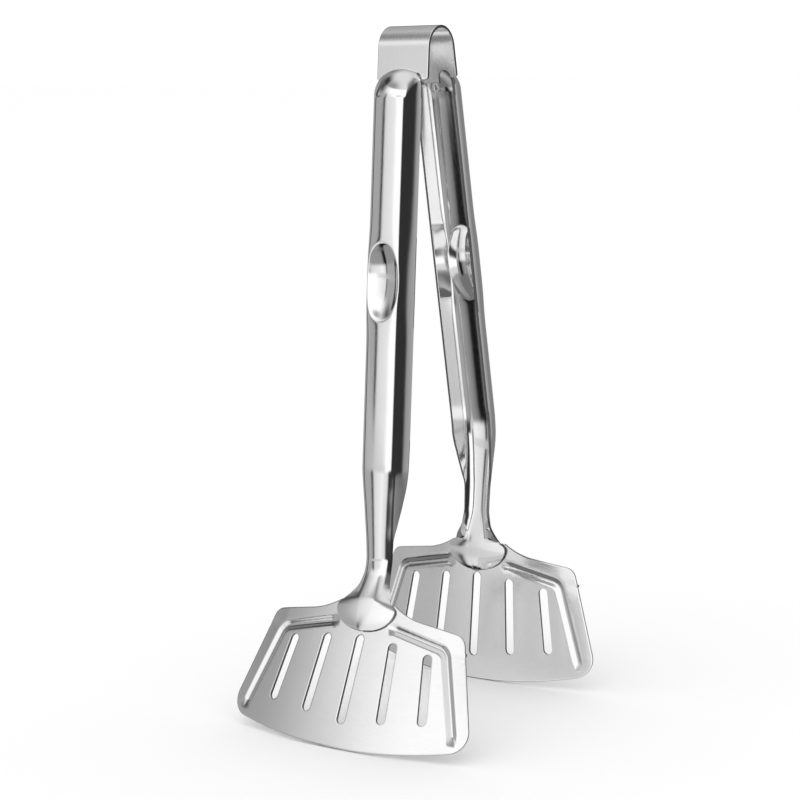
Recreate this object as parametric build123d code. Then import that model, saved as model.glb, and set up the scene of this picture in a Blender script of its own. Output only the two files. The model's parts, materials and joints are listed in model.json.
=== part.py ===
from build123d import *
import os
from math import cos, radians, sin, tan

# Fish tongs of polished stainless steel, standing on their two slotted blades.
# A bent flat spring joins two pressed channel arms, and each arm carries a welded blade.
# Millimetres, +Z up. +X runs from the front arm to the rear arm, and Y runs across the blades.
# The origin is on the floor, in the middle of the box that holds the whole object.

# Spring bow, the bent strip at the top
bow_radius = 9.5
strip_width = 24.0
strip_thickness = 1.2
spread_angle = 7.4
ear_drop = 12.5
tongue_drop = 15.0
tongue_width = 7.0
notch_width = 5.6

# Pressed channel arms
sheet = 1.0
rim_width = 19.3
channel_depth = 10.2
corner_radius = 4.7
wall_draft = 10.8
dome_top_drop = 8.0
dome_radius = 12.2
dimple_drop = 92.0
dimple_length_radius = 35.0
dimple_width_radius = 13.0
dimple_depth = 3.6

# Where the arms end and the blades begin
front_length = 196.0
anchor_offset = 3.3
front_crank_angle = 20.5
rear_crank_angle = 16.5
taper_start = 166.0
taper_angle = 4.0
taper_bend_radius = 30.0
neck_bend_radius = 18.0
taper_lead = 8.0

# Round welded tab at the foot of each arm
tab_half_width = 13.8
tab_shoulder_drop = 26.2
tab_drop = 35.7

# Blades
blade_thickness = 1.2
blade_dish_radius = 350.0
blade_drop = 82.3
blade_top_drop = 23.8
blade_top_half_width = 12.8
shoulder_half_width = 26.2
shoulder_drop = 28.7
upper_corner_half_width = 45.0
upper_corner_drop = 31.1
upper_corner_radius = 5.0
lower_corner_half_width = 57.6
lower_corner_rise = 8.4
lower_corner_radius = 8.2

# Slots, fanned out from one point above the blade
slot_width = 4.0
slot_fan_drop = -167.4
slot_pitch_angle = 4.34
slot_top_drop = 39.0
slot_foot_margin = 11.5

# Stiffening bead pressed into each upper corner of a blade
bead_width = 3.0
bead_height = 0.9
bead_wall = 0.9
bead_start_half_width = 15.3
bead_start_drop = 33.1
bead_corner_half_width = 39.0
bead_corner_drop = 37.9
bead_end_half_width = 49.4
bead_end_rise = 12.4
bead_corner_radius = 5.0

overrun = 20.0
quarter_turn = 90.0
half_turn = 180.0

# Slots beside the middle one: how far down the fan each starts, and how long it is
side_slot_start_share = {1: 1.0093, 2: 1.0283}
side_slot_length_share = {1: 0.88, 2: 0.745}

# Stations of the tapering channel, from the bend to the blade's anchor:
# place along that run, then floor width, bend of the corners and height of the walls
taper_shares = (
    (0.00, 1.00, 1.00, 1.00),
    (0.20, 0.92, 0.98, 0.86),
    (0.48, 0.76, 0.93, 0.56),
    (0.76, 0.62, 0.84, 0.28),
    (1.00, 0.50, 0.74, 0.16),
)

# Stations of the flaring neck, from the anchor to the tab's lower edge, in the same order
flare_shares = (
    (0.26, 0.46, 0.66, 0.20),
    (0.44, 0.62, 0.52, 0.34),
    (0.57, 0.80, 0.24, 0.80),
    (0.66, 0.90, 0.012, 1.20),
    (0.72, 0.90, 0.012, 1.62),
    (0.78, 0.90, 0.012, 1.90),
    (1.08, 0.90, 0.012, 1.90),
)

channel_bend = quarter_turn - wall_draft
wall_height = (
    channel_depth - corner_radius * (1 - cos(radians(channel_bend))) - sheet * cos(radians(channel_bend))
) / sin(radians(channel_bend))
floor_half = (
    rim_width / 2
    - corner_radius * sin(radians(channel_bend))
    - wall_height * cos(radians(channel_bend))
)
front_blade_tilt = spread_angle + front_crank_angle
rear_blade_tilt = rear_crank_angle - spread_angle
dome_axis_drop = dome_top_drop + dome_radius
slot_length = blade_drop - slot_foot_margin - slot_top_drop
lower_corner_drop = blade_drop - lower_corner_rise
bead_end_drop = blade_drop - bead_end_rise


def foot_reach(tilt):
    """Height that a blade takes up below its anchor, down to the lower edge of its foot."""
    return blade_drop * cos(radians(tilt)) + blade_thickness * sin(radians(tilt))


# The rear arm is shorter, because its blade hangs steeper and both feet stand on the floor
rear_length = front_length - (
    foot_reach(rear_blade_tilt) - foot_reach(front_blade_tilt)
) / cos(radians(spread_angle))


def sheet_section(plane, half_floor, bend, wall):
    """Section of the bent sheet: a floor, two round corners and two walls, of one thickness."""
    centre = (half_floor, -corner_radius)
    along = Vector(cos(radians(bend)), -sin(radians(bend)))
    inward = Vector(-sin(radians(bend)), -cos(radians(bend)))
    outer_arc = CenterArc(centre, corner_radius, quarter_turn, -bend)
    inner_arc = CenterArc(centre, corner_radius - sheet, quarter_turn, -bend)
    outer_rim = outer_arc @ 1 + along * wall
    inner_rim = outer_rim + inward * sheet
    half = Curve() + [
        Line((0, 0), outer_arc @ 0),
        outer_arc,
        Line(outer_arc @ 1, outer_rim),
        Line(outer_rim, inner_rim),
        Line(inner_rim, inner_arc @ 1),
        inner_arc,
        Line(inner_arc @ 0, (0, -sheet)),
    ]
    return plane * make_face(half + mirror(half, Plane.YZ))


def hump_section(plane, inset, wall):
    """Solid outline of the channel, moved inward from the outer face by the inset."""
    radius = corner_radius - inset
    arc = CenterArc((floor_half, -corner_radius), radius, quarter_turn, -channel_bend)
    along = Vector(cos(radians(channel_bend)), -sin(radians(channel_bend)))
    foot = arc @ 1 + along * wall
    half = Curve() + [
        Line((0, -inset), arc @ 0),
        arc,
        Line(arc @ 1, foot),
        Line(foot, (0, foot.Y)),
    ]
    return plane * make_face(half + mirror(half, Plane.YZ))


def channel_plane(drop):
    """Plane across the straight channel, with its origin on the outer face of the floor."""
    return Plane(origin=(channel_depth, 0, -drop), x_dir=(0, 1, 0), z_dir=(0, 0, -1))


def dome_block(inset):
    """Half-egg solid that rounds off the top of the channel."""
    radius = dome_radius - inset
    height = channel_depth - inset
    quarter = EllipticalCenterArc((0, 0), radius, height, start_angle=0, arc_size=quarter_turn)
    face = make_face(Curve() + [quarter, Line((0, height), (0, 0)), Line((0, 0), (radius, 0))])
    egg = revolve(face, Axis.Y)
    return Pos(0, 0, -dome_axis_drop) * Rot(0, 0, -quarter_turn) * egg


def dome_shell():
    """Rounded top end of an arm, a pressed cap that is open towards the other arm."""
    top = channel_plane(dome_top_drop - sheet)
    reach = dome_axis_drop - dome_top_drop + sheet
    outer = extrude(hump_section(top, 0, wall_height), reach) & dome_block(0)
    inner = extrude(hump_section(top, sheet, wall_height + sheet), reach) & dome_block(sheet)
    mouth = Pos(-sheet / 2, 0, -dome_axis_drop) * Cylinder(dome_radius - sheet, sheet, rotation=(0, quarter_turn, 0))
    return outer - inner - mouth


def dimple_ring(inset):
    """Ring whose outer side is the bowl of the thumb dimple, grown inward by the inset."""
    centre = channel_depth - dimple_depth + dimple_length_radius
    ring = Torus(dimple_length_radius - dimple_width_radius, dimple_width_radius + inset)
    return Pos(centre, 0, -dimple_drop) * Rot(quarter_turn, 0, 0) * ring


def straight_channel(end_drop):
    """Straight part of an arm, with the oval thumb dimple pressed into its floor."""
    length = end_drop - dome_axis_drop
    full = channel_plane(dome_axis_drop)
    channel = extrude(sheet_section(full, floor_half, channel_bend, wall_height), length)
    hollow = extrude(hump_section(full, sheet, wall_height), length)
    return channel + (hollow & dimple_ring(sheet)) - dimple_ring(0)


def front_floor_path():
    """Side view of the front floor: in to the neck, then out along the tab."""
    lean = radians(front_crank_angle)
    slope = tan(radians(taper_angle))
    tab_x = anchor_offset + sheet * cos(lean)
    tab_down = front_length - sheet * sin(lean)
    neck = (channel_depth - tab_x - (tab_down - taper_start) * slope) / (sin(lean) + cos(lean) * slope)
    foot = tab_drop + overrun
    return FilletPolyline(
        (channel_depth, 0, taper_lead - taper_start),
        (channel_depth, 0, -taper_start),
        (tab_x + neck * sin(lean), 0, -tab_down - neck * cos(lean)),
        (tab_x + foot * sin(lean), 0, -tab_down - foot * cos(lean)),
        radius=(taper_bend_radius, neck_bend_radius),
    )


def rear_floor_path():
    """Side view of the rear floor: one bend, then straight in along the blade."""
    lean = radians(rear_crank_angle)
    bend = rear_length - (channel_depth - anchor_offset) / tan(lean)
    foot = tab_drop + overrun
    return FilletPolyline(
        (channel_depth, 0, taper_lead - bend),
        (channel_depth, 0, -bend),
        (anchor_offset - foot * sin(lean), 0, -rear_length - foot * cos(lean)),
        radius=taper_bend_radius,
    )


def station_plane(path, distance):
    """Plane across the arm at a distance along the floor's outer face."""
    share = distance / path.length
    return Plane(origin=path @ share, x_dir=(0, 1, 0), z_dir=path % share)


def tapered_foot(path):
    """Loft from the full channel through the neck to the flat tab."""
    run = path.length - taper_lead - tab_drop - overrun
    stations = [(0, 1, 1, 1)]
    stations += [(taper_lead + place * run, *rest) for place, *rest in taper_shares]
    stations += [(taper_lead + run + place * tab_drop, *rest) for place, *rest in flare_shares]
    faces = [
        sheet_section(
            station_plane(path, distance),
            floor_half * width,
            channel_bend * bend,
            wall_height * wall,
        )
        for distance, width, bend, wall in stations
    ]
    return loft(faces, ruled=True)


def tab_trim():
    """Cutter that leaves the round tab: everything below the tab's curved lower edge."""
    ellipse = Ellipse(tab_half_width, tab_drop - tab_shoulder_drop)
    block = Rectangle(4 * tab_half_width, 2 * overrun, align=(Align.CENTER, Align.MAX))
    cutter = Pos(0, -tab_shoulder_drop) * (block - ellipse)
    return extrude(Plane.YZ * cutter, overrun, both=True)


def blade_layer(near, far):
    """Layer between two depths of the gently dished blade, as a wide hoop."""
    height = 2 * blade_drop
    hoop = Cylinder(blade_dish_radius - near, height) - Cylinder(blade_dish_radius - far, height)
    return Pos(blade_dish_radius, 0, -blade_drop / 2) * hoop


def blade_prism():
    """Outline of a blade, pushed through the dish."""
    top = (blade_top_half_width, -blade_top_drop)
    shoulder = (shoulder_half_width, -shoulder_drop)
    upper = (upper_corner_half_width, -upper_corner_drop)
    lower = (lower_corner_half_width, -lower_corner_drop)
    ridge = Line(upper, shoulder)
    sweep_up = TangentArc(shoulder, top, tangent=ridge % 1)
    edge = Curve() + [
        Line((0, -blade_top_drop), top),
        sweep_up,
        ridge,
        Line(upper, lower),
    ]
    foot = ThreePointArc(lower, (0, -blade_drop), (-lower[0], lower[1]))
    face = make_face(edge + mirror(edge, Plane.YZ) + foot)
    lower_corners = face.vertices().sort_by(Axis.Y)[:2]
    face = fillet(lower_corners, lower_corner_radius)
    upper_corners = [
        vertex for vertex in face.vertices()
        if abs(abs(vertex.X) - upper[0]) < sheet and abs(vertex.Y - upper[1]) < sheet
    ]
    face = fillet(upper_corners, upper_corner_radius)
    return extrude(Plane.YZ * face, overrun, both=True)


def slot_cutter(index):
    """One round-ended slot of the fan; index 0 is the middle one."""
    side = abs(index)
    start = (slot_top_drop - slot_fan_drop) * side_slot_start_share.get(side, 1)
    length = slot_length * side_slot_length_share.get(side, 1)
    slot = Pos(0, -start - length / 2) * SlotCenterToCenter(length, slot_width, rotation=quarter_turn)
    fanned = Pos(0, -slot_fan_drop) * Rot(0, 0, index * slot_pitch_angle) * slot
    return extrude(Plane.YZ * fanned, overrun, both=True)


def bead_band(side, width):
    """L-shaped band along a blade's upper corner, pushed through the dish."""
    line = FilletPolyline(
        (side * bead_start_half_width, -bead_start_drop),
        (side * bead_corner_half_width, -bead_corner_drop),
        (side * bead_end_half_width, -bead_end_drop),
        radius=bead_corner_radius,
    )
    outline = offset(line, width / 2)
    return extrude(Plane.YZ * make_face(outline), overrun, both=True)


def blade():
    """Slotted blade in its own frame: anchor at the origin, hanging down, dished towards +X."""
    body = blade_prism() & blade_layer(0, blade_thickness)
    for index in (-2, -1, 0, 1, 2):
        body -= slot_cutter(index)
    for side in (-1, 1):
        ridge = bead_band(side, bead_width + 2 * bead_wall)
        body += ridge & blade_layer(blade_thickness / 2, blade_thickness + bead_height)
        body -= bead_band(side, bead_width) & blade_layer(-sheet, bead_height)
    return body


def arm(path, blade_place):
    """One pressed arm in its own frame: rims at x = 0, floor outward, hanging from its bend."""
    body = dome_shell() + straight_channel(-(path @ 0).Z) + tapered_foot(path)
    return body - blade_place * tab_trim()


def leg_line(radius, side):
    """Side view of one straight leg of the bow, from its tangent point down to its end."""
    lean = radians(spread_angle)
    top = Vector(side * radius * cos(lean), radius * sin(lean))
    return Line(top, top + Vector(side * sin(lean), -cos(lean)) * tongue_drop)


def bow_end_cutter():
    """Cutter that leaves a middle tongue between two round notches at the end of a leg."""
    below = Rectangle(strip_width + overrun, overrun, align=(Align.CENTER, Align.MAX))
    tongue = Rectangle(tongue_width, overrun, align=(Align.CENTER, Align.MAX))
    notch = Circle(notch_width / 2)
    reach = (tongue_width + notch_width) / 2
    cutter = below - tongue + Pos(reach, 0) * notch + Pos(-reach, 0) * notch
    return extrude(Plane.YZ * Pos(0, -ear_drop) * cutter, bow_radius / 2, both=True)


def spring_bow(places):
    """Flat strip bent over the top, with one shaped end against each arm."""
    outline = Curve()
    arch_ends = {}
    for radius in (bow_radius, bow_radius - strip_thickness):
        front, rear = leg_line(radius, -1), leg_line(radius, 1)
        arch = ThreePointArc(front @ 0, (0, radius), rear @ 0)
        outline += [front, arch, rear]
        arch_ends[radius] = (front @ 1, rear @ 1)
    outer, inner = arch_ends.values()
    outline += [Line(outer[0], inner[0]), Line(outer[1], inner[1])]
    band = extrude(Plane.XZ * make_face(outline), strip_width / 2, both=True)
    for place in places:
        band -= place * bow_end_cutter()
    return band


def arm_place(side):
    """Where an arm hangs: on the bow's tangent point, leaning out, its floor facing outward."""
    lean = radians(spread_angle)
    top = Pos(side * bow_radius * cos(lean), 0, bow_radius * sin(lean))
    turn = Rot(0, 0, 0) if side > 0 else Rot(0, 0, half_turn)
    return top * Rot(0, -side * spread_angle, 0) * turn


front_place, rear_place = arm_place(-1), arm_place(1)
front_anchor = Pos(anchor_offset, 0, -front_length) * Rot(0, -front_crank_angle, 0)
rear_anchor = Pos(anchor_offset, 0, -rear_length) * Rot(0, rear_crank_angle, 0)
turned = Rot(0, 0, half_turn)

nodes = {
    "spring_bow": spring_bow((front_place, rear_place)),
    "arm_front": front_place * arm(front_floor_path(), front_anchor),
    "arm_rear": rear_place * arm(rear_floor_path(), rear_anchor),
    "blade_front": front_place * front_anchor * turned * blade(),
    "blade_rear": rear_place * rear_anchor * blade(),
}

box = Compound(list(nodes.values())).bounding_box()
stand = Pos(-box.center().X, 0, -box.min.Z)

os.makedirs("parts", exist_ok=True)
for name, shape in nodes.items():
    export_step(stand * shape, f"parts/{name}.step")

print("bow centre at x", round(stand.position.X, 3), "z", round(stand.position.Z, 3))
print("height", round(box.size.Z, 3), "depth", round(box.size.X, 3), "width", round(box.size.Y, 3))
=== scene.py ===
import json
from math import acos, atan2, ceil, cos, hypot, pi, radians, sin, sqrt, tan

import bmesh
import bpy
import numpy as np
from mathutils import Matrix, Vector
from mathutils.geometry import delaunay_2d_cdt


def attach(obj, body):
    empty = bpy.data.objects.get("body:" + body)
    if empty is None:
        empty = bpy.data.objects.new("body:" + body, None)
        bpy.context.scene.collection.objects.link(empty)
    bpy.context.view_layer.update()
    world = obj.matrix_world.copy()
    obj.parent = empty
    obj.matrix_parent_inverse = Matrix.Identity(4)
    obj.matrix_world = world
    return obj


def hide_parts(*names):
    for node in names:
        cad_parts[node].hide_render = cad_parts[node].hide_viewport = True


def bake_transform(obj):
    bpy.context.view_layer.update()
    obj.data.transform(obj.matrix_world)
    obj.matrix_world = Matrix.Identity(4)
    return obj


# Fish tongs of polished stainless steel. A bent flat spring joins two pressed channel arms,
# and each arm carries a slotted blade that is welded to its round tab.
# Shapes are worked out in millimetres, as a press tool is drawn, and stored in metres.
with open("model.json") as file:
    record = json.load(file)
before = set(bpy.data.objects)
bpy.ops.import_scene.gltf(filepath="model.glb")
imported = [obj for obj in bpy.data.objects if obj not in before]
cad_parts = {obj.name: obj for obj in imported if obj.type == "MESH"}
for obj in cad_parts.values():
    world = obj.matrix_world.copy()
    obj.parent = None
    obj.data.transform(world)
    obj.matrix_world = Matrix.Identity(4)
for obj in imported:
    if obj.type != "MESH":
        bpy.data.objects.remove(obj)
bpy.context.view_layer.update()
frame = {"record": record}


# Spring bow: a strip of satin rolled spring steel, bent over the top and spot-welded under each
# arm's rims. Its ends are stamped with a middle tongue between two round notches. It is drawn
# flat, from the crown down to one end, and bent by formula. In use the bend flexes; here each half is
# fixed where it is drawn.
MM = 0.001
bow_radius = 9.5
strip_width = 24.0
strip_thickness = 1.2
spread_angle = radians(7.4)
ear_drop = 12.5
tongue_drop = 15.0
tongue_width = 7.0
notch_radius = 2.8
strip_corner = 1.0
dulled_edge = 0.15
dulled_edge_steps = 2
sharp_edge_angle = radians(55)

arch_angle = pi / 2 - spread_angle
arch_length = bow_radius * arch_angle
tongue_half = tongue_width / 2
notch_middle = tongue_half + notch_radius

# The two hinges lie 45 degrees up from the middle of the bend, one to each side, and so give its place.
hinges = {joint["name"]: Vector(joint["pos_m"]) for joint in frame["record"]["behaviour"]["joints"]}
hinge_front, hinge_rear = hinges["front_squeeze"], hinges["rear_squeeze"]
bow_x = (hinge_front.x + hinge_rear.x) / 2 / MM
hinge_reach = (hinge_rear.x - hinge_front.x) / 2 / MM
bow_z = hinge_front.z / MM - hinge_reach

# Fineness of a stamped sheet's mesh. The shares are of the spacing of its grid.
strip_grid = 0.8
arc_step = 0.35
least_arc_runs = 3
shortest_run = 1e-4
edge_run_share = 0.7
hem_share = 0.5
grid_clear_share = 0.9
edge_clear_share = 0.45
joining_distance = 1e-6
almost_nothing = 1e-12


def corner_arc(centre, radius, start, end):
    """Points along an arc of an outline, from one angle to another."""
    count = max(least_arc_runs, ceil(abs(end - start) * radius / arc_step))
    return [
        (centre[0] + radius * cos(start + (end - start) * i / count),
         centre[1] + radius * sin(start + (end - start) * i / count))
        for i in range(count + 1)
    ]


def bow_end_outline():
    """Half of the strip, laid flat: the crown at the top and the notched end below."""
    ears = arch_length + ear_drop
    tip = arch_length + tongue_drop
    half = strip_width / 2
    return (
        [(-half, 0), (half, 0)]
        + corner_arc((half - strip_corner, ears - strip_corner), strip_corner, 0, pi / 2)
        + corner_arc((notch_middle, ears), notch_radius, 0, -pi)
        + [(tongue_half, tip), (-tongue_half, tip)]
        + corner_arc((-notch_middle, ears), notch_radius, 0, -pi)
        + corner_arc((strip_corner - half, ears - strip_corner), strip_corner, pi / 2, pi)
    )


def bent_strip(side):
    """Formula that bends the flat strip over the top, to one side."""
    def place(across, down):
        turn = np.minimum(down, arch_length) / bow_radius
        leg = np.maximum(down - arch_length, 0)
        x = side * (bow_radius * np.sin(turn) + leg * sin(spread_angle))
        z = bow_radius * np.cos(turn) - leg * cos(spread_angle)
        return np.stack([bow_x + x, -side * across, bow_z + z], axis=1)
    return place


def divided(points, step):
    """A closed outline with no run longer than the step."""
    result = []
    for a, b in zip(points, points[1:] + points[:1]):
        length = hypot(b[0] - a[0], b[1] - a[1])
        if length < shortest_run:
            continue
        count = ceil(length / step)
        result += [
            (a[0] + (b[0] - a[0]) * i / count, a[1] + (b[1] - a[1]) * i / count)
            for i in range(count)
        ]
    return result


def inside(points, outline):
    """Which points lie inside a closed outline."""
    x, y = points[:, 0], points[:, 1]
    within = np.zeros(len(points), bool)
    for (ax, ay), (bx, by) in zip(outline, outline[1:] + outline[:1]):
        if ay != by:
            crosses = (ay > y) != (by > y)
            within ^= crosses & (x < (bx - ax) * (y - ay) / (by - ay) + ax)
    return within


def on_sheet(points, loops):
    """Which points lie inside the outline, the first loop, and outside every hole."""
    within = inside(points, loops[0])
    for hole in loops[1:]:
        within &= ~inside(points, hole)
    return within


def distance_to(points, line):
    """Distance from each point to a line of short runs."""
    nearest = np.full(len(points), np.inf)
    for a, b in zip(line, line[1:]):
        a, run = np.array(a), np.array(b) - np.array(a)
        along = np.clip((points - a) @ run / max(run @ run, almost_nothing), 0, 1)
        nearest = np.minimum(nearest, np.linalg.norm(points - a - along[:, None] * run, axis=1))
    return nearest


def clear_of(points, loops, distance):
    """The points that are further than a distance from every loop."""
    for loop in loops:
        points = points[distance_to(points, loop + loop[:1]) > distance]
    return points


def loop_area(loop):
    """Signed area inside a closed outline."""
    return sum(ax * by - bx * ay for (ax, ay), (bx, by) in zip(loop, loop[1:] + loop[:1])) / 2


def hem_line(loop, hem):
    """Points that follow a closed outline at a small distance, inside it, or outside if it is negative."""
    points = np.array(loop)
    way = np.roll(points, -1, axis=0) - np.roll(points, 1, axis=0)
    way /= np.linalg.norm(way, axis=1)[:, None]
    return points + np.stack([-way[:, 1], way[:, 0]], axis=1) * hem * np.sign(loop_area(loop))


def sheet_fill(edge, loops, spacing, seams):
    """Points that fill a flat sheet: an even grid, the seams' own points, and a hem along each edge."""
    low, high = np.min(edge, axis=0) + spacing / 2, np.max(edge, axis=0)
    columns, rows = (np.arange(low[i], high[i], spacing) for i in (0, 1))
    grid = clear_of(np.array([(u, v) for v in rows for u in columns]), loops, spacing * grid_clear_share)
    for _, middle_line, reach in seams:
        grid = grid[distance_to(grid, middle_line) > reach]
    hem = spacing * hem_share
    hems = np.concatenate([hem_line(loops[0], hem)] + [hem_line(hole, -hem) for hole in loops[1:]])
    hems = clear_of(hems, loops, spacing * edge_clear_share)
    fill = np.concatenate([grid] + [points for points, _, _ in seams] + [hems])
    return clear_of(fill[on_sheet(fill, loops)], loops, spacing * edge_clear_share)


def stamped_sheet(name, edge, holes, spacing, seams, place, thickness, rounding):
    """Sheet cut to an outline with holes, shaped by a formula, with its thickness and dulled edges.

    A seam is (points, middle line, reach): the points take the grid's place within reach of the line.
    """
    loops = [divided(loop, spacing * edge_run_share) for loop in [edge] + holes]
    points, edges = [], []
    for loop in loops:
        start = len(points)
        points += loop
        edges += [(start + i, start + (i + 1) % len(loop)) for i in range(len(loop))]
    points += [tuple(point) for point in sheet_fill(edge, loops, spacing, seams)]
    flat, _, faces, *_ = delaunay_2d_cdt(
        [Vector(point) for point in points], edges, [], 0, joining_distance, False
    )
    flat = np.array([tuple(point) for point in flat])
    centres = np.array([flat[list(face)].mean(axis=0) for face in faces])
    steel = np.flatnonzero(on_sheet(centres, loops))
    mesh = bpy.data.meshes.new(name)
    shaped = place(flat[:, 0], flat[:, 1]) * MM
    mesh.from_pydata(shaped.tolist(), [], [faces[i] for i in steel])
    mesh.shade_smooth()
    return sheet_piece(name, mesh, thickness, rounding)


def sheet_piece(name, mesh, thickness, rounding):
    """Object that gives a formed surface its sheet thickness, inward, and its dulled edges.

    Its cut edges take the second of its materials.
    """
    piece = bpy.data.objects.new(name, mesh)
    bpy.context.scene.collection.objects.link(piece)
    gauge = piece.modifiers.new("sheet gauge", "SOLIDIFY")
    gauge.thickness = thickness * MM
    gauge.offset = -1
    gauge.use_even_offset = False
    gauge.material_offset_rim = 1
    dull = piece.modifiers.new("dulled edges", "BEVEL")
    dull.width = rounding * MM
    dull.segments = dulled_edge_steps
    dull.limit_method = "ANGLE"
    dull.angle_limit = sharp_edge_angle
    flat = piece.modifiers.new("flat faces stay flat", "WEIGHTED_NORMAL")
    flat.keep_sharp = True
    return piece


# Marks of polishing, shared by every steel. The ranges are of the noise that makes the marks.
line_detail = 3.0
line_raggedness = 0.65
line_range = (0.3, 0.7)
smear_scale = 45.0
smear_detail = 2.0
smear_distortion = 0.8
smear_range = (0.35, 0.65)
smeared_tone = (0.55, 0.55, 0.56, 1.0)
mark_depth = 0.02


def effect_group(name, inputs, outputs):
    """Empty shader node group with named inputs and outputs."""
    group = bpy.data.node_groups.new(name, "ShaderNodeTree")
    for label, kind, value in inputs:
        socket = group.interface.new_socket(name=label, in_out="INPUT", socket_type=kind)
        socket.default_value = value
    for label, kind in outputs:
        group.interface.new_socket(name=label, in_out="OUTPUT", socket_type=kind)
    return group, group.nodes.new("NodeGroupInput"), group.nodes.new("NodeGroupOutput")


def steel_marks():
    """Fine lines left by the polishing wheel, with faint wiping smears."""
    group, inlet, outlet = effect_group(
        "steel marks",
        [("Line Stretch", "NodeSocketVector", (1.0, 1.0, 1.0)), ("Line Scale", "NodeSocketFloat", 900.0),
         ("Dull", "NodeSocketFloat", 0.1), ("Dull Spread", "NodeSocketFloat", 0.05),
         ("Tone", "NodeSocketColor", (0.8, 0.8, 0.8, 1.0)), ("Tone Spread", "NodeSocketFloat", 0.06)],
        [("Color", "NodeSocketColor"), ("Roughness", "NodeSocketFloat"), ("Height", "NodeSocketFloat")],
    )
    nodes, links = group.nodes, group.links
    place = nodes.new("ShaderNodeTexCoord")
    stretch = nodes.new("ShaderNodeVectorMath")
    stretch.operation = "MULTIPLY"
    links.new(place.outputs["Object"], stretch.inputs[0])
    links.new(inlet.outputs["Line Stretch"], stretch.inputs[1])
    lines = nodes.new("ShaderNodeTexNoise")
    lines.inputs["Detail"].default_value = line_detail
    lines.inputs["Roughness"].default_value = line_raggedness
    links.new(stretch.outputs[0], lines.inputs["Vector"])
    links.new(inlet.outputs["Line Scale"], lines.inputs["Scale"])
    smears = nodes.new("ShaderNodeTexNoise")
    smears.inputs["Scale"].default_value = smear_scale
    smears.inputs["Detail"].default_value = smear_detail
    smears.inputs["Distortion"].default_value = smear_distortion
    links.new(place.outputs["Object"], smears.inputs["Vector"])
    dull = nodes.new("ShaderNodeMapRange")
    dull.inputs["From Min"].default_value, dull.inputs["From Max"].default_value = line_range
    links.new(lines.outputs["Fac"], dull.inputs["Value"])
    for operation, limit in (("SUBTRACT", "To Min"), ("ADD", "To Max")):
        edge = nodes.new("ShaderNodeMath")
        edge.operation = operation
        links.new(inlet.outputs["Dull"], edge.inputs[0])
        links.new(inlet.outputs["Dull Spread"], edge.inputs[1])
        links.new(edge.outputs[0], dull.inputs[limit])
    smear_dull = nodes.new("ShaderNodeMath")
    smear_dull.operation = "MULTIPLY_ADD"
    links.new(smears.outputs["Fac"], smear_dull.inputs[0])
    links.new(inlet.outputs["Dull Spread"], smear_dull.inputs[1])
    links.new(dull.outputs["Result"], smear_dull.inputs[2])
    tone = nodes.new("ShaderNodeMapRange")
    tone.inputs["From Min"].default_value, tone.inputs["From Max"].default_value = smear_range
    tone.inputs["To Min"].default_value = 0.0
    links.new(smears.outputs["Fac"], tone.inputs["Value"])
    links.new(inlet.outputs["Tone Spread"], tone.inputs["To Max"])
    shade = nodes.new("ShaderNodeMixRGB")
    shade.inputs["Color2"].default_value = smeared_tone
    links.new(tone.outputs["Result"], shade.inputs["Fac"])
    links.new(inlet.outputs["Tone"], shade.inputs["Color1"])
    links.new(shade.outputs["Color"], outlet.inputs["Color"])
    links.new(smear_dull.outputs[0], outlet.inputs["Roughness"])
    links.new(lines.outputs["Fac"], outlet.inputs["Height"])
    return group


steel_marks_group = steel_marks()


def steel_finish(name, tone, dull, dull_spread, stretch, line_scale, relief):
    """Stainless steel with the marks of its polishing."""
    material = bpy.data.materials.new(name)
    material.use_nodes = True
    nodes, links = material.node_tree.nodes, material.node_tree.links
    shader = nodes["Principled BSDF"]
    shader.inputs["Metallic"].default_value = 1.0
    marks = nodes.new("ShaderNodeGroup")
    marks.node_tree = steel_marks_group
    marks.inputs["Line Stretch"].default_value = stretch
    marks.inputs["Line Scale"].default_value = line_scale
    marks.inputs["Dull"].default_value = dull
    marks.inputs["Dull Spread"].default_value = dull_spread
    marks.inputs["Tone"].default_value = (tone, tone, tone, 1.0)
    bump = nodes.new("ShaderNodeBump")
    bump.inputs["Strength"].default_value = relief
    bump.inputs["Distance"].default_value = mark_depth * MM
    links.new(marks.outputs["Color"], shader.inputs["Base Color"])
    links.new(marks.outputs["Roughness"], shader.inputs["Roughness"])
    links.new(marks.outputs["Height"], bump.inputs["Height"])
    links.new(bump.outputs["Normal"], shader.inputs["Normal"])
    return material


# Sheared cut edges are rougher than the faces, and their dark tone is partly painted shade, for the shade
# on the thin sheet edges and inside the slots.
cut_edge_steel_and_shade = steel_finish(
    "cut edge steel with painted shade", tone=0.24, dull=0.35, dull_spread=0.05,
    stretch=(1.0, 1.0, 1.0), line_scale=600.0, relief=0.10,
)
satin_steel = steel_finish(
    "satin rolled steel", tone=0.95, dull=0.24, dull_spread=0.03,
    stretch=(1.0, 18.0, 1.0), line_scale=260.0, relief=0.08,
)

for side, label, body in ((-1, "front", "front_half"), (1, "rear", "rear_half")):
    half_bow = stamped_sheet(
        f"spring_bow_{label}", bow_end_outline(), [], strip_grid, [], bent_strip(side),
        strip_thickness, dulled_edge
    )
    half_bow.data.materials.append(satin_steel)
    half_bow.data.materials.append(cut_edge_steel_and_shade)
    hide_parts("spring_bow")
    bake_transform(half_bow)


# Arms: each is one pressing of 1 mm bright polished steel, an open channel with a domed top,
# an oval dimple for the thumb, and a foot that narrows to a neck and flares out into a round tab.
# The rims are welded to the bow's strip, and the tab to the blade that it lies on.
sheet = 1.0
rim_width = 19.3
channel_depth = 10.2
corner_radius = 4.7
channel_bend = radians(79.2)
floor_bow = radians(6.0)
wall_bow = radians(5.0)
dome_top_drop = 8.0
dome_radius = 12.2
dome_softness = 0.12

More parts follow.
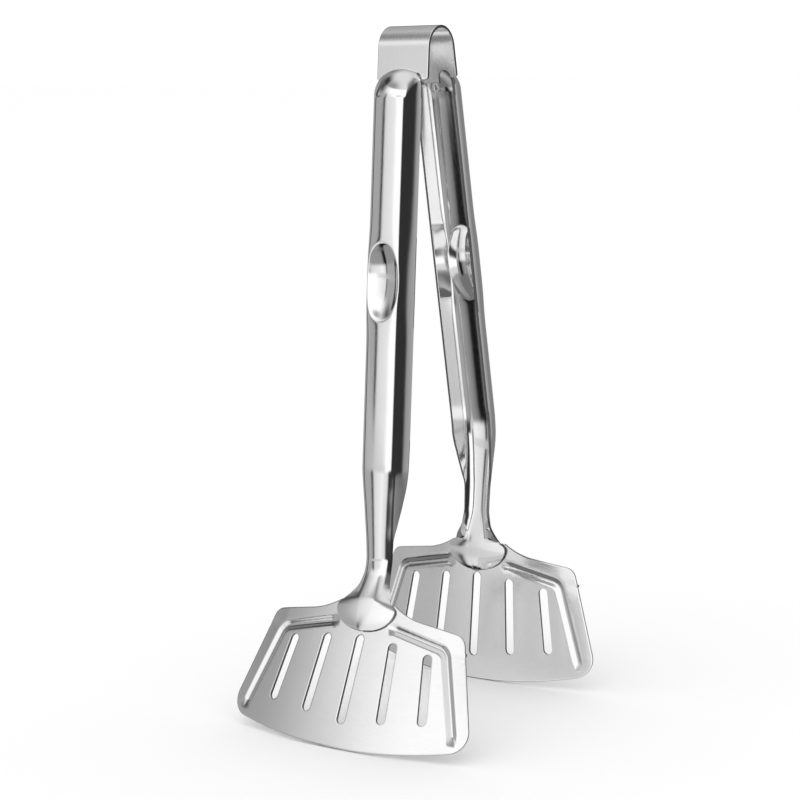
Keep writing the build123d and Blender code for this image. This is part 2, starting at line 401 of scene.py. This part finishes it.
dimple_drop = 92.0
dimple_length_radius = 35.0
dimple_width_radius = 13.0
dimple_depth = 3.6
dimple_lip = 0.35
dimple_lip_share = 0.2
dimple_reach = 17.5
dimple_end_power = 8
dimple_corner_radius = 2.9
square_reach = 17.0
square_end_power = 4

front_length = 196.0
anchor_offset = 3.3
front_crank = radians(20.5)
rear_crank = radians(16.5)
taper_start = 166.0
taper_slope = tan(radians(4.0))
taper_bend_radius = 60.0
rear_bend_radius = 70.0
neck_bend_radius = 18.0
taper_lead = 12.0

tab_half_width = 13.8
tab_shoulder_drop = 26.2
tab_drop = 35.7
tab_crown = 0.9
tab_crown_start_share = 0.25
tab_crown_length_share = 0.625
tab_softness = 0.05
least_bend_share = 0.002
blade_drop = 82.3
blade_thickness = 1.2

# Fineness of the arm's mesh: steps across the floor, a corner and a wall, and rows down the arm.
section_steps = (12, 18, 12)
dome_row_count = 30
dimple_rows_reach = 18.0
dimple_row_step = 0.6
rows_above_dimple = 18
rows_below_dimple = 20
bend_step = 0.25
least_bend_runs = 2
foot_row_step = 0.8
tab_row_count = 18
weld_distance = 0.02
rim_least_reach = 1e-6

# Stations down the foot: place, then floor width, bend and wall height as shares of the channel's.
# The taper runs from the whole channel to the blade's anchor, and the flare from there down the tab.
channel_station_shares = (0.0, 1.0, 1.0, 1.0)
taper_station_shares = (
    (0.00, 0.99, 1.00, 0.97),
    (0.20, 0.92, 0.98, 0.88),
    (0.48, 0.76, 0.93, 0.62),
    (0.76, 0.62, 0.84, 0.34),
    (1.00, 0.50, 0.74, 0.18),
)
flare_station_shares = (
    (0.26, 0.46, 0.66, 0.20),
    (0.44, 0.62, 0.52, 0.34),
    (0.57, 0.80, 0.24, 0.80),
    (0.66, 0.90, 0.012, 1.20),
    (0.72, 0.90, 0.012, 1.62),
    (0.78, 0.90, 0.012, 1.90),
    (1.08, 0.90, 0.012, 1.90),
)


def foot_reach(tilt):
    """Height that a blade takes up below its anchor."""
    return blade_drop * cos(tilt) + blade_thickness * sin(tilt)


rear_length = front_length - (
    foot_reach(rear_crank - spread_angle) - foot_reach(front_crank + spread_angle)
) / cos(spread_angle)


def smaller(a, b, softness):
    """The lower of two surfaces, with a soft crease where they meet."""
    return (a + b - np.sqrt((a - b) ** 2 + softness**2)) / 2


def softly_through(stations, distance):
    """Values at a distance through a row of stations, easing from one to the next without overshoot."""
    places = np.array([station[0] for station in stations])
    values = np.array([station[1:] for station in stations])
    gaps = np.diff(places)[:, None]
    slopes = np.diff(values, axis=0) / gaps
    tangents = np.zeros_like(values)
    agree = slopes[1:] * slopes[:-1] > 0
    mean = 2 * slopes[1:] * slopes[:-1] / np.where(agree, slopes[1:] + slopes[:-1], 1)
    tangents[1:-1] = np.where(agree, mean, 0)
    i = int(np.clip(np.searchsorted(places, distance) - 1, 0, len(places) - 2))
    gap = gaps[i, 0]
    t = float(np.clip((distance - places[i]) / gap, 0, 1))
    return (
        (2 * t**3 - 3 * t**2 + 1) * values[i] + (t**3 - 2 * t**2 + t) * gap * tangents[i]
        + (3 * t**2 - 2 * t**3) * values[i + 1] + (t**3 - t**2) * gap * tangents[i + 1]
    )


def bent_line(corners, radii, step):
    """Points along a line of runs whose corners are bent to the radii."""
    points = [np.array(corners[0], float)]
    for before, corner, after, radius in zip(corners, corners[1:], corners[2:], radii):
        before, corner, after = (np.array(p, float) for p in (before, corner, after))
        way_in = (corner - before) / np.linalg.norm(corner - before)
        way_out = (after - corner) / np.linalg.norm(after - corner)
        turn = acos(float(np.clip(way_in @ way_out, -1, 1)))
        side = np.sign(way_in[0] * way_out[1] - way_in[1] * way_out[0])
        normal = np.array([-way_in[1], way_in[0]]) * side
        middle = corner - way_in * radius * tan(turn / 2) + normal * radius
        count = max(least_bend_runs, ceil(radius * turn / step))
        for i in range(count + 1):
            angle = turn * i / count
            points.append(middle - normal * radius * cos(angle) + way_in * radius * sin(angle))
    points.append(np.array(corners[-1], float))
    return np.array(points)


def front_floor_line():
    """Side view of the front floor: nearly straight to the neck, then out along the tab."""
    tab_x = anchor_offset + sheet * cos(front_crank)
    tab_down = front_length - sheet * sin(front_crank)
    neck = (channel_depth - tab_x - (tab_down - taper_start) * taper_slope) / (
        sin(front_crank) + cos(front_crank) * taper_slope
    )
    corners = (
        (channel_depth, taper_start - taper_lead),
        (channel_depth, taper_start),
        (tab_x + neck * sin(front_crank), tab_down + neck * cos(front_crank)),
        (tab_x + tab_drop * sin(front_crank), tab_down + tab_drop * cos(front_crank)),
    )
    return bent_line(corners, (taper_bend_radius, neck_bend_radius), bend_step)


def rear_floor_line():
    """Side view of the rear floor: one bend, then straight in along the blade."""
    bend = rear_length - (channel_depth - anchor_offset) / tan(rear_crank)
    corners = (
        (channel_depth, bend - taper_lead),
        (channel_depth, bend),
        (anchor_offset - tab_drop * sin(rear_crank), rear_length + tab_drop * cos(rear_crank)),
    )
    return bent_line(corners, (rear_bend_radius,), bend_step)


def channel_sizes(corner):
    """Half width of the channel's floor and height of its walls, for corners of a given radius."""
    wall = channel_depth - corner * (1 - cos(channel_bend)) - sheet * cos(channel_bend)
    wall /= sin(channel_bend)
    return rim_width / 2 - corner * sin(channel_bend) - wall * cos(channel_bend), wall


def channel_section(floor, corner, bend, wall):
    """Half section of the channel from the floor's middle to the rim: reach across, and height inward.

    The floor and the walls are slightly bowed, as pressed sheet springs back.
    """
    slack = bend / channel_bend
    turns = (
        (floor, 0, floor_bow * slack),
        (corner * bend, floor_bow * slack, bend - wall_bow * slack),
        (wall, bend - wall_bow * slack, bend + wall_bow * slack),
    )
    across, inward = [0.0], [0.0]
    for (length, start, end), steps in zip(turns, section_steps):
        for i in range(steps):
            angle = start + (end - start) * (i + 0.5) / steps
            across.append(across[-1] + length / steps * cos(angle))
            inward.append(inward[-1] + length / steps * sin(angle))
    across, inward = np.array(across), np.array(inward)
    rim_across = floor + corner * sin(bend) + wall * cos(bend)
    rim_inward = corner * (1 - cos(bend)) + wall * sin(bend)
    return across * rim_across / across[-1], inward * rim_inward / inward[-1]


floor_half, wall_height = channel_sizes(corner_radius)


def dome_rows():
    """Rows of points round the domed top, each as (outward, across, down), from its tip to the channel."""
    across, inward = channel_section(floor_half, corner_radius, channel_bend, wall_height)
    outward = channel_depth - inward
    egg = np.sqrt((across / dome_radius) ** 2 + (outward / channel_depth) ** 2)
    rows = []
    for i in range(dome_row_count):
        angle = pi / 2 * (1 - i / dome_row_count)
        softness = dome_softness * sin(pi * i / dome_row_count) ** 2
        scale = smaller(1.0, cos(angle) / egg, softness)
        down = np.full(len(across), dome_top_drop + dome_radius * (1 - sin(angle)))
        rows.append((outward * scale, across * scale, down))
    return rows


def channel_rows(end):
    """Rows down the straight channel with its thumb dimple. Its corners are squarer beside the dimple."""
    start = dome_top_drop + dome_radius
    beside = np.arange(dimple_drop - dimple_rows_reach, dimple_drop + dimple_rows_reach, dimple_row_step)
    above = np.linspace(start, beside[0], rows_above_dimple, endpoint=False)
    below = np.linspace(beside[-1] + dimple_row_step, end, rows_below_dimple, endpoint=False)
    bowl_middle = channel_depth - dimple_depth + dimple_length_radius
    rows = []
    for down in np.concatenate([above, beside, below]):
        along = down - dimple_drop
        near = np.exp(-((along / dimple_reach) ** dimple_end_power))
        squared = np.exp(-((along / square_reach) ** square_end_power))
        corner = corner_radius + (dimple_corner_radius - corner_radius) * squared
        floor, wall = channel_sizes(corner)
        across, inward = channel_section(floor, corner, channel_bend, wall)
        outward = channel_depth - inward
        ring = dimple_length_radius - dimple_width_radius + np.sqrt(
            np.maximum(dimple_width_radius**2 - across**2, 0)
        )
        bowl = bowl_middle - np.sqrt(np.maximum(ring**2 - along**2, 0))
        pressed = smaller(outward, bowl + dimple_lip * dimple_lip_share, dimple_lip)
        rows.append((outward + (pressed - outward) * near, across, np.full(len(across), down)))
    return rows


def foot_rows(floor_line, crown):
    """Rows along the floor line, from the channel through the neck to the round edge of the domed tab."""
    steps = np.linalg.norm(np.diff(floor_line, axis=0), axis=1)
    length = np.concatenate([[0], np.cumsum(steps)])
    tangent = np.gradient(floor_line, length, axis=0)
    tangent /= np.linalg.norm(tangent, axis=1)[:, None]
    run = length[-1] - taper_lead - tab_drop
    anchor = taper_lead + run
    stations = [channel_station_shares]
    stations += [(taper_lead + place * run, *shares) for place, *shares in taper_station_shares]
    stations += [(anchor + place * tab_drop, *shares) for place, *shares in flare_station_shares]
    shoulder = anchor + tab_shoulder_drop
    rest = tab_drop - tab_shoulder_drop
    places = list(np.arange(0, shoulder, foot_row_step))
    places += [shoulder + rest * sin(pi / 2 * i / tab_row_count) for i in range(tab_row_count + 1)]
    rows = []
    for place in places:
        width, bend, wall = softly_through(stations, place)
        bend = channel_bend * max(bend, least_bend_share)
        across, inward = channel_section(floor_half * width, corner_radius, bend, wall_height * wall)
        past = min(max((place - shoulder) / rest, 0), 1)
        round_end = sqrt(max(1 - past**2, 0))
        limit = tab_half_width * round_end
        across = across * smaller(1.0, limit / across[-1], tab_softness) if past < 1 else across * 0
        swell = ((place - anchor) / tab_shoulder_drop - tab_crown_start_share) / tab_crown_length_share
        swell = crown * min(max(swell, 0), 1) ** 2
        inward = inward - swell * (1 - (across / max(across[-1], rim_least_reach)) ** 2) * round_end
        point = [np.interp(place, length, floor_line[:, i]) for i in (0, 1)]
        way = [np.interp(place, length, tangent[:, i]) for i in (0, 1)]
        rows.append((point[0] - way[1] * inward, across, point[1] + way[0] * inward))
    return rows


def arm_mesh(name, floor_line, side):
    """Formed outer surface of one arm, in its place under the bow. Both tabs are domed to the front."""
    rows = dome_rows() + channel_rows(floor_line[0, 1]) + foot_rows(floor_line, -side * tab_crown)
    lean_sin, lean_cos = sin(spread_angle), cos(spread_angle)
    top_x = bow_x + side * bow_radius * lean_cos
    top_z = bow_z + bow_radius * lean_sin
    points, width = [], 2 * len(rows[0][0]) - 1
    for outward, across, down in rows:
        out = np.concatenate([outward[:0:-1], outward])
        y = np.concatenate([-across[:0:-1], across])
        s = np.concatenate([down[:0:-1], down])
        x = top_x + side * (s * lean_sin + out * lean_cos)
        z = top_z - s * lean_cos + out * lean_sin
        points += np.stack([x, side * y, z], axis=1).tolist()
    faces = []
    for r in range(len(rows) - 1):
        for c in range(width - 1):
            a = r * width + c
            faces.append((a, a + width, a + width + 1, a + 1))
    mesh = bpy.data.meshes.new(name)
    mesh.from_pydata([[v * MM for v in p] for p in points], [], faces)
    form = bmesh.new()
    form.from_mesh(mesh)
    bmesh.ops.remove_doubles(form, verts=form.verts, dist=weld_distance * MM)
    form.to_mesh(mesh)
    form.free()
    mesh.shade_smooth()
    return mesh


polished_steel = steel_finish(
    "bright polished steel", tone=0.83, dull=0.07, dull_spread=0.03,
    stretch=(6.0, 6.0, 0.4), line_scale=500.0, relief=0.12,
)

for side, label, body, floor_line in (
    (-1, "front", "front_half", front_floor_line()),
    (1, "rear", "rear_half", rear_floor_line()),
):
    arm_piece = sheet_piece(
        f"pressed_arm_{label}", arm_mesh(f"arm_{label}", floor_line, side), sheet, dulled_edge
    )
    arm_piece.data.materials.append(polished_steel)
    arm_piece.data.materials.append(cut_edge_steel_and_shade)
    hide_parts(f"arm_{label}")
    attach(arm_piece, body)


# Blades: each is stamped from 1.2 mm polished sheet, with a fan of five slots, and an L-shaped bead
# pressed into each upper corner to stiffen it. It is dished a little, so that the two nest, and it
# is welded to the arm's tab.
blade_dish_radius = 350.0
blade_top_drop = 23.8
blade_top_half_width = 12.8
shoulder_half_width = 26.2
shoulder_drop = 28.7
upper_corner_half_width = 45.0
upper_corner_drop = 31.1
upper_corner_radius = 5.0
lower_corner_half_width = 57.6
lower_corner_margin = 8.4
lower_corner_radius = 8.2
blade_dulled_edge = 0.2
border_curl = 0.09
border_curl_ease = 1.5

slots_each_side = 2
slot_width = 4.0
slot_fan_drop = -167.4
slot_pitch = radians(4.34)
slot_top_drop = 39.0
slot_end_margin = 11.5
side_slot_start_share = {1: 1.0093, 2: 1.0283}
side_slot_length_share = {1: 0.88, 2: 0.745}

bead_half_width = 2.4
bead_height = 0.9
bead_end_margin = 12.4
bead_corners = ((15.3, 33.1), (39.0, 37.9), (49.4, blade_drop - bead_end_margin))
bead_corner_radius = 5.0

# Fineness of the blade's mesh. Rows of points follow each bead, so that its sides are smooth.
blade_grid = 1.1
sweep_runs = 24
foot_runs = 40
corner_foot_runs = 6
corner_step = 0.4
bead_step = 0.5
seam_step = 0.6
seam_reach = 2.5
seam_rows = 11
seam_clearance = 0.5

lower_corner_drop = blade_drop - lower_corner_margin
slot_length = blade_drop - slot_end_margin - slot_top_drop
bead_leg_line = ([down for _, down in bead_corners[1:]], [across for across, _ in bead_corners[1:]])


def rounded(corners, radii, step):
    """Open line of runs with its inner corners rounded."""
    return [tuple(point) for point in bent_line(corners, radii, step)]


def sweep_arc(start, end, way):
    """Arc from one point to another that leaves the first along a given way."""
    start, end, way = (np.array(p, float) for p in (start, end, way))
    way /= np.linalg.norm(way)
    chord = end - start
    normal = np.array([-way[1], way[0]])
    radius = (chord @ chord) / (2 * (chord @ normal))
    centre = start + normal * radius
    first = atan2(*(start - centre)[::-1])
    turn = 2 * atan2(chord @ normal, chord @ way)
    angles = [first + turn * i / sweep_runs for i in range(sweep_runs + 1)]
    return [tuple(centre + abs(radius) * np.array([cos(angle), sin(angle)])) for angle in angles]


def blade_outline():
    """Outline of a blade laid flat: across, and down from its anchor."""
    top = (blade_top_half_width, blade_top_drop)
    shoulder = (shoulder_half_width, shoulder_drop)
    upper = (upper_corner_half_width, upper_corner_drop)
    lower = (lower_corner_half_width, lower_corner_drop)
    rise = blade_drop - lower_corner_drop
    foot_radius = (lower[0] ** 2 + rise**2) / (2 * rise)
    reach = atan2(lower[0], foot_radius - rise)
    angles = [reach * (1 - i / foot_runs) for i in range(foot_runs + 1)]
    foot = [(foot_radius * sin(angle), blade_drop - foot_radius * (1 - cos(angle))) for angle in angles]
    foot = foot[corner_foot_runs:]
    sweep = sweep_arc(shoulder, top, (shoulder[0] - upper[0], shoulder[1] - upper[1]))
    corners = rounded(
        (shoulder, upper, lower, foot[0]), (upper_corner_radius, lower_corner_radius), corner_step
    )
    half = sweep[::-1][:-1] + corners[:-1] + foot
    return half + [(-across, down) for across, down in half[-2::-1]]


def slot_outline(index):
    """Outline of one round-ended slot of the fan; index 0 is the middle one."""
    beside = abs(index)
    start = (slot_top_drop - slot_fan_drop) * side_slot_start_share.get(beside, 1)
    end = start + slot_length * side_slot_length_share.get(beside, 1)
    radius = slot_width / 2
    upright = corner_arc((0, start), radius, pi, 2 * pi) + corner_arc((0, end), radius, 0, pi)
    turn = index * slot_pitch
    return [
        (x * cos(turn) + y * sin(turn), y * cos(turn) - x * sin(turn) + slot_fan_drop)
        for x, y in upright
    ]


def bead_line(side):
    """Middle line of one bead."""
    corners = [(side * across, down) for across, down in bead_corners]
    return rounded(corners, (bead_corner_radius,), bead_step)


def bead_seam(side):
    """Rows of points along one bead, with its middle line and how far the grid stays from it."""
    # divided() goes back to where the line started, so it is cut off at its lowest point.
    line = np.array(divided(bead_line(side), seam_step)[:-1])
    line = line[: int(np.argmax(line[:, 1])) + 1]
    way = np.gradient(line, axis=0)
    way /= np.linalg.norm(way, axis=1)[:, None]
    normal = np.stack([-way[:, 1], way[:, 0]], axis=1)
    rows = [line + normal * offset for offset in np.linspace(-seam_reach, seam_reach, seam_rows)]
    return np.concatenate(rows), bead_line(side), bead_half_width + seam_clearance


def pressed_blade(side, length, tilt):
    """Formula that dishes the flat blade, presses its beads, curls its border and hangs it on its arm."""
    anchor_x = bow_x + side * (
        (bow_radius + anchor_offset) * cos(spread_angle) + length * sin(spread_angle)
    )
    anchor_z = bow_z + (bow_radius + anchor_offset) * sin(spread_angle) - length * cos(spread_angle)

    def place(across, down):
        flat = np.stack([across, down], axis=1)
        near = np.minimum(distance_to(flat, bead_line(-1)), distance_to(flat, bead_line(1)))
        swell = np.clip(1 - near / bead_half_width, 0, 1)
        raised = bead_height * (3 * swell**2 - 2 * swell**3)
        beyond = np.maximum(np.abs(across) - np.interp(down, *bead_leg_line), 0)
        curled = border_curl * beyond**2 / (beyond + border_curl_ease)
        bent = across / blade_dish_radius
        depth = blade_dish_radius * (1 - np.cos(bent)) + raised + curled
        x = anchor_x - sin(tilt) * down + cos(tilt) * depth
        z = anchor_z - cos(tilt) * down - sin(tilt) * depth
        return np.stack([x, blade_dish_radius * np.sin(bent), z], axis=1)
    return place


blade_steel = steel_finish(
    "polished blade steel", tone=0.80, dull=0.12, dull_spread=0.05,
    stretch=(1.0, 1.0, 12.0), line_scale=240.0, relief=0.15,
)

for side, label, body, length, tilt in (
    (-1, "front", "front_half", front_length, front_crank + spread_angle),
    (1, "rear", "rear_half", rear_length, rear_crank - spread_angle),
):
    slots = [slot_outline(i) for i in range(-slots_each_side, slots_each_side + 1)]
    blade_piece = stamped_sheet(
        f"slotted_blade_{label}", blade_outline(), slots, blade_grid, [bead_seam(-1), bead_seam(1)],
        pressed_blade(side, length, tilt), blade_thickness, blade_dulled_edge
    )
    blade_piece.data.materials.append(blade_steel)
    blade_piece.data.materials.append(cut_edge_steel_and_shade)
    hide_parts(f"blade_{label}")
    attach(blade_piece, body)


# Studio floor: a wide, plain, pale matt sheet that the tongs stand on. It takes their soft shadow.
# The steel doesn't mirror it, because the tones of the light round the studio stand for it too.
floor_reach = 6.0
floor_tone = 0.9
floor_dull = 0.9

floor_corners = [(-floor_reach, -floor_reach, 0), (floor_reach, -floor_reach, 0),
                 (floor_reach, floor_reach, 0), (-floor_reach, floor_reach, 0)]
floor_mesh = bpy.data.meshes.new("studio_floor")
floor_mesh.from_pydata(floor_corners, [], [(0, 1, 2, 3)])
floor = bpy.data.objects.new("studio_floor", floor_mesh)
bpy.context.scene.collection.objects.link(floor)
floor_paint = bpy.data.materials.new("pale floor")
floor_paint.use_nodes = True
floor_shader = floor_paint.node_tree.nodes["Principled BSDF"]
floor_shader.inputs["Base Color"].default_value = (floor_tone, floor_tone, floor_tone, 1.0)
floor_shader.inputs["Roughness"].default_value = floor_dull
floor_mesh.materials.append(floor_paint)
floor.visible_glossy = False


# Studio light: even and white from all round. Polished steel shows what stands round it, so the
# rays that it mirrors see rings of grey tones instead, laid one above the other.
# A ring's stops are (degrees from +X, tone).
soft_white = 1.14
under_ring = ((0, 0.90), (92, 0.85), (112, 0.20), (210, 0.20), (230, 0.60), (359, 0.80))
deep_ring = (
    (0, 0.25), (70, 0.22), (90, 0.30), (134, 0.32), (137, 0.26), (138.5, 0.01), (147.5, 0.01),
    (150, 0.16), (153, 0.26), (158, 0.34), (206, 0.36), (214, 0.42), (240, 0.44), (252, 0.06),
    (262, 0.06), (270, 0.30), (300, 0.20), (359, 0.25),
)
low_ring = (
    (0, 0.28), (60, 0.40), (88, 0.42), (91, 0.03), (98, 0.03), (102, 0.44), (139, 0.46), (140.5, 0.04),
    (142.5, 0.04), (144, 0.82), (158, 1.10), (168, 1.00), (196, 0.85), (210, 0.04), (299, 0.03),
    (303, 0.36), (309, 0.40), (316, 0.50), (321, 0.05), (335, 0.05), (340, 0.54), (345, 0.34),
    (351, 0.23), (359, 0.28),
)
calm_ring = (
    (0, 0.28), (60, 0.40), (88, 0.44), (91, 0.03), (98, 0.03), (102, 0.47), (125, 0.52), (139, 0.57),
    (146, 0.70), (172, 0.90), (185, 1.25), (222, 1.25), (231, 0.03), (303, 0.03), (308, 0.37),
    (316, 0.50), (321, 0.05), (335, 0.05), (340, 0.54), (345, 0.34), (351, 0.23), (359, 0.28),
)
level_ring = (
    (0, 0.28), (18, 0.12), (48, 0.12), (62, 0.42), (88, 0.42), (91, 0.03), (98, 0.03), (102, 0.43),
    (139, 0.44), (140.5, 0.04), (142.5, 0.04), (144, 0.82), (165, 1.05), (185, 1.25), (222, 1.25),
    (231, 0.03), (304, 0.03), (308, 0.40), (316, 0.50), (321, 0.05), (338, 0.05), (345, 0.27),
    (359, 0.28),
)
high_ring = (
    (0, 0.5), (60, 0.30), (105, 0.08), (116, 0.12), (122, 0.30), (126, 0.42), (129, 0.55), (133, 0.72),
    (138, 0.93), (146, 1.10), (156, 1.25), (222, 1.25), (240, 0.15), (290, 0.15), (305, 0.5), (359, 0.5),
)
dim_ring = (
    (0, 0.45), (80, 0.30), (94, 0.04), (118, 0.04), (128, 0.34), (160, 0.34), (200, 0.85), (225, 0.85),
    (250, 0.25), (290, 0.25), (359, 0.45),
)
overhead_tone = 0.85

# Rings above the lowest, upwards, each with the rise of a ray where it starts and where it is whole.
# A ray's rise is its height per unit of length.
stacked_rings = (
    (deep_ring, -0.53, -0.48),
    (low_ring, -0.28, -0.20),
    (calm_ring, -0.100, -0.045),
    (level_ring, 0.012, 0.018),
    (high_ring, 0.25, 0.50),
    (dim_ring, 0.60, 0.68),
)
overhead_rise = (0.74, 0.97)

# A ray that has bounced round the inside of an arm and leaves it downwards sees paler tones, as
# the walls of a real channel light each other.
bounces_in_channel = 2.5
channel_low_tone = 1.0
channel_high_tone = 1.6
channel_tone_rise = (-0.355, -0.325)
channel_light_start = (-0.47, -0.43)
channel_light_end = (-0.24, -0.19)

world = bpy.data.worlds.new("studio")
bpy.context.scene.world = world
world.use_nodes = True
world_nodes, world_links = world.node_tree.nodes, world.node_tree.links

ray_way = world_nodes.new("ShaderNodeTexCoord")
ray_parts = world_nodes.new("ShaderNodeSeparateXYZ")
world_links.new(ray_way.outputs["Generated"], ray_parts.inputs[0])
bearing = world_nodes.new("ShaderNodeMath")
bearing.operation = "ARCTAN2"
world_links.new(ray_parts.outputs["Y"], bearing.inputs[0])
world_links.new(ray_parts.outputs["X"], bearing.inputs[1])
turns = world_nodes.new("ShaderNodeMath")
turns.operation = "DIVIDE"
turns.inputs[1].default_value = 2 * pi
world_links.new(bearing.outputs[0], turns.inputs[0])
round_share = world_nodes.new("ShaderNodeMath")
round_share.operation = "FRACT"
world_links.new(turns.outputs[0], round_share.inputs[0])


def ring_of_tones(stops):
    """Grey tones round the studio, each at its angle in degrees from +X."""
    ramp = world_nodes.new("ShaderNodeValToRGB")
    while len(ramp.color_ramp.elements) < len(stops):
        ramp.color_ramp.elements.new(0.5)
    for element, (angle, tone) in zip(ramp.color_ramp.elements, stops):
        element.position = angle / 360
        element.color = (tone, tone, tone, 1.0)
    world_links.new(round_share.outputs[0], ramp.inputs["Fac"])
    return ramp.outputs["Color"]


def mixed(share, first, second):
    """Tones that go from the first to the second with a share; each is a node's output or one number."""
    blend = world_nodes.new("ShaderNodeMixRGB")
    world_links.new(share, blend.inputs["Fac"])
    for tones, socket in ((first, "Color1"), (second, "Color2")):
        if isinstance(tones, float):
            blend.inputs[socket].default_value = (tones, tones, tones, 1.0)
        else:
            world_links.new(tones, blend.inputs[socket])
    return blend.outputs[0]


def tones_above(lower, upper, start, end):
    """Tones that change softly from a lower set to an upper one as a ray's rise goes from start to end."""
    share = world_nodes.new("ShaderNodeMapRange")
    share.interpolation_type = "SMOOTHSTEP"
    share.inputs["From Min"].default_value = start
    share.inputs["From Max"].default_value = end
    world_links.new(ray_parts.outputs["Z"], share.inputs["Value"])
    return mixed(share.outputs[0], lower, upper)


mirrored = ring_of_tones(under_ring)
for ring, start, end in stacked_rings:
    mirrored = tones_above(mirrored, ring_of_tones(ring), start, end)
mirrored = tones_above(mirrored, overhead_tone, *overhead_rise)

channel_tones = tones_above(channel_low_tone, channel_high_tone, *channel_tone_rise)
channel_light = tones_above(mirrored, channel_tones, *channel_light_start)
channel_light = tones_above(channel_light, mirrored, *channel_light_end)

path = world_nodes.new("ShaderNodeLightPath")
repeated = world_nodes.new("ShaderNodeMath")
repeated.operation = "GREATER_THAN"
repeated.inputs[1].default_value = bounces_in_channel
world_links.new(path.outputs["Ray Depth"], repeated.inputs[0])
seen_in_steel = mixed(repeated.outputs[0], mirrored, channel_light)
seen = mixed(path.outputs["Is Glossy Ray"], soft_white, seen_in_steel)
world_links.new(seen, world_nodes["Background"].inputs["Color"])


# Camera: it stands low, to the left of the front arm, and leans a little, as in the photograph.
# Its place is worked out from the point that it looks at.
aim = Vector((0, 0, 0.135))
aim_across = -0.00164
aim_up = -0.00676
camera_azimuth = radians(-55.37)
camera_elevation = radians(10.52)
camera_roll = radians(-2.327)
camera_distance = 0.8623
camera_lens = 97.0
camera_sensor = 36.0

back = Vector((
    sin(camera_azimuth) * cos(camera_elevation),
    -cos(camera_azimuth) * cos(camera_elevation),
    sin(camera_elevation),
))
level = Vector((cos(camera_azimuth), sin(camera_azimuth), 0))
rise = back.cross(level)
right = level * cos(camera_roll) + rise * sin(camera_roll)
up = rise * cos(camera_roll) - level * sin(camera_roll)
camera_data = bpy.data.cameras.new("camera")
camera_data.lens = camera_lens
camera_data.sensor_width = camera_sensor
camera = bpy.data.objects.new("camera", camera_data)
bpy.context.scene.collection.objects.link(camera)
camera.rotation_mode = "QUATERNION"
camera.rotation_quaternion = Matrix((right, up, back)).transposed().to_quaternion()
camera.location = aim + back * camera_distance + right * aim_across + up * aim_up
bpy.context.scene.camera = camera
bpy.context.scene.view_settings.view_transform = "Standard"
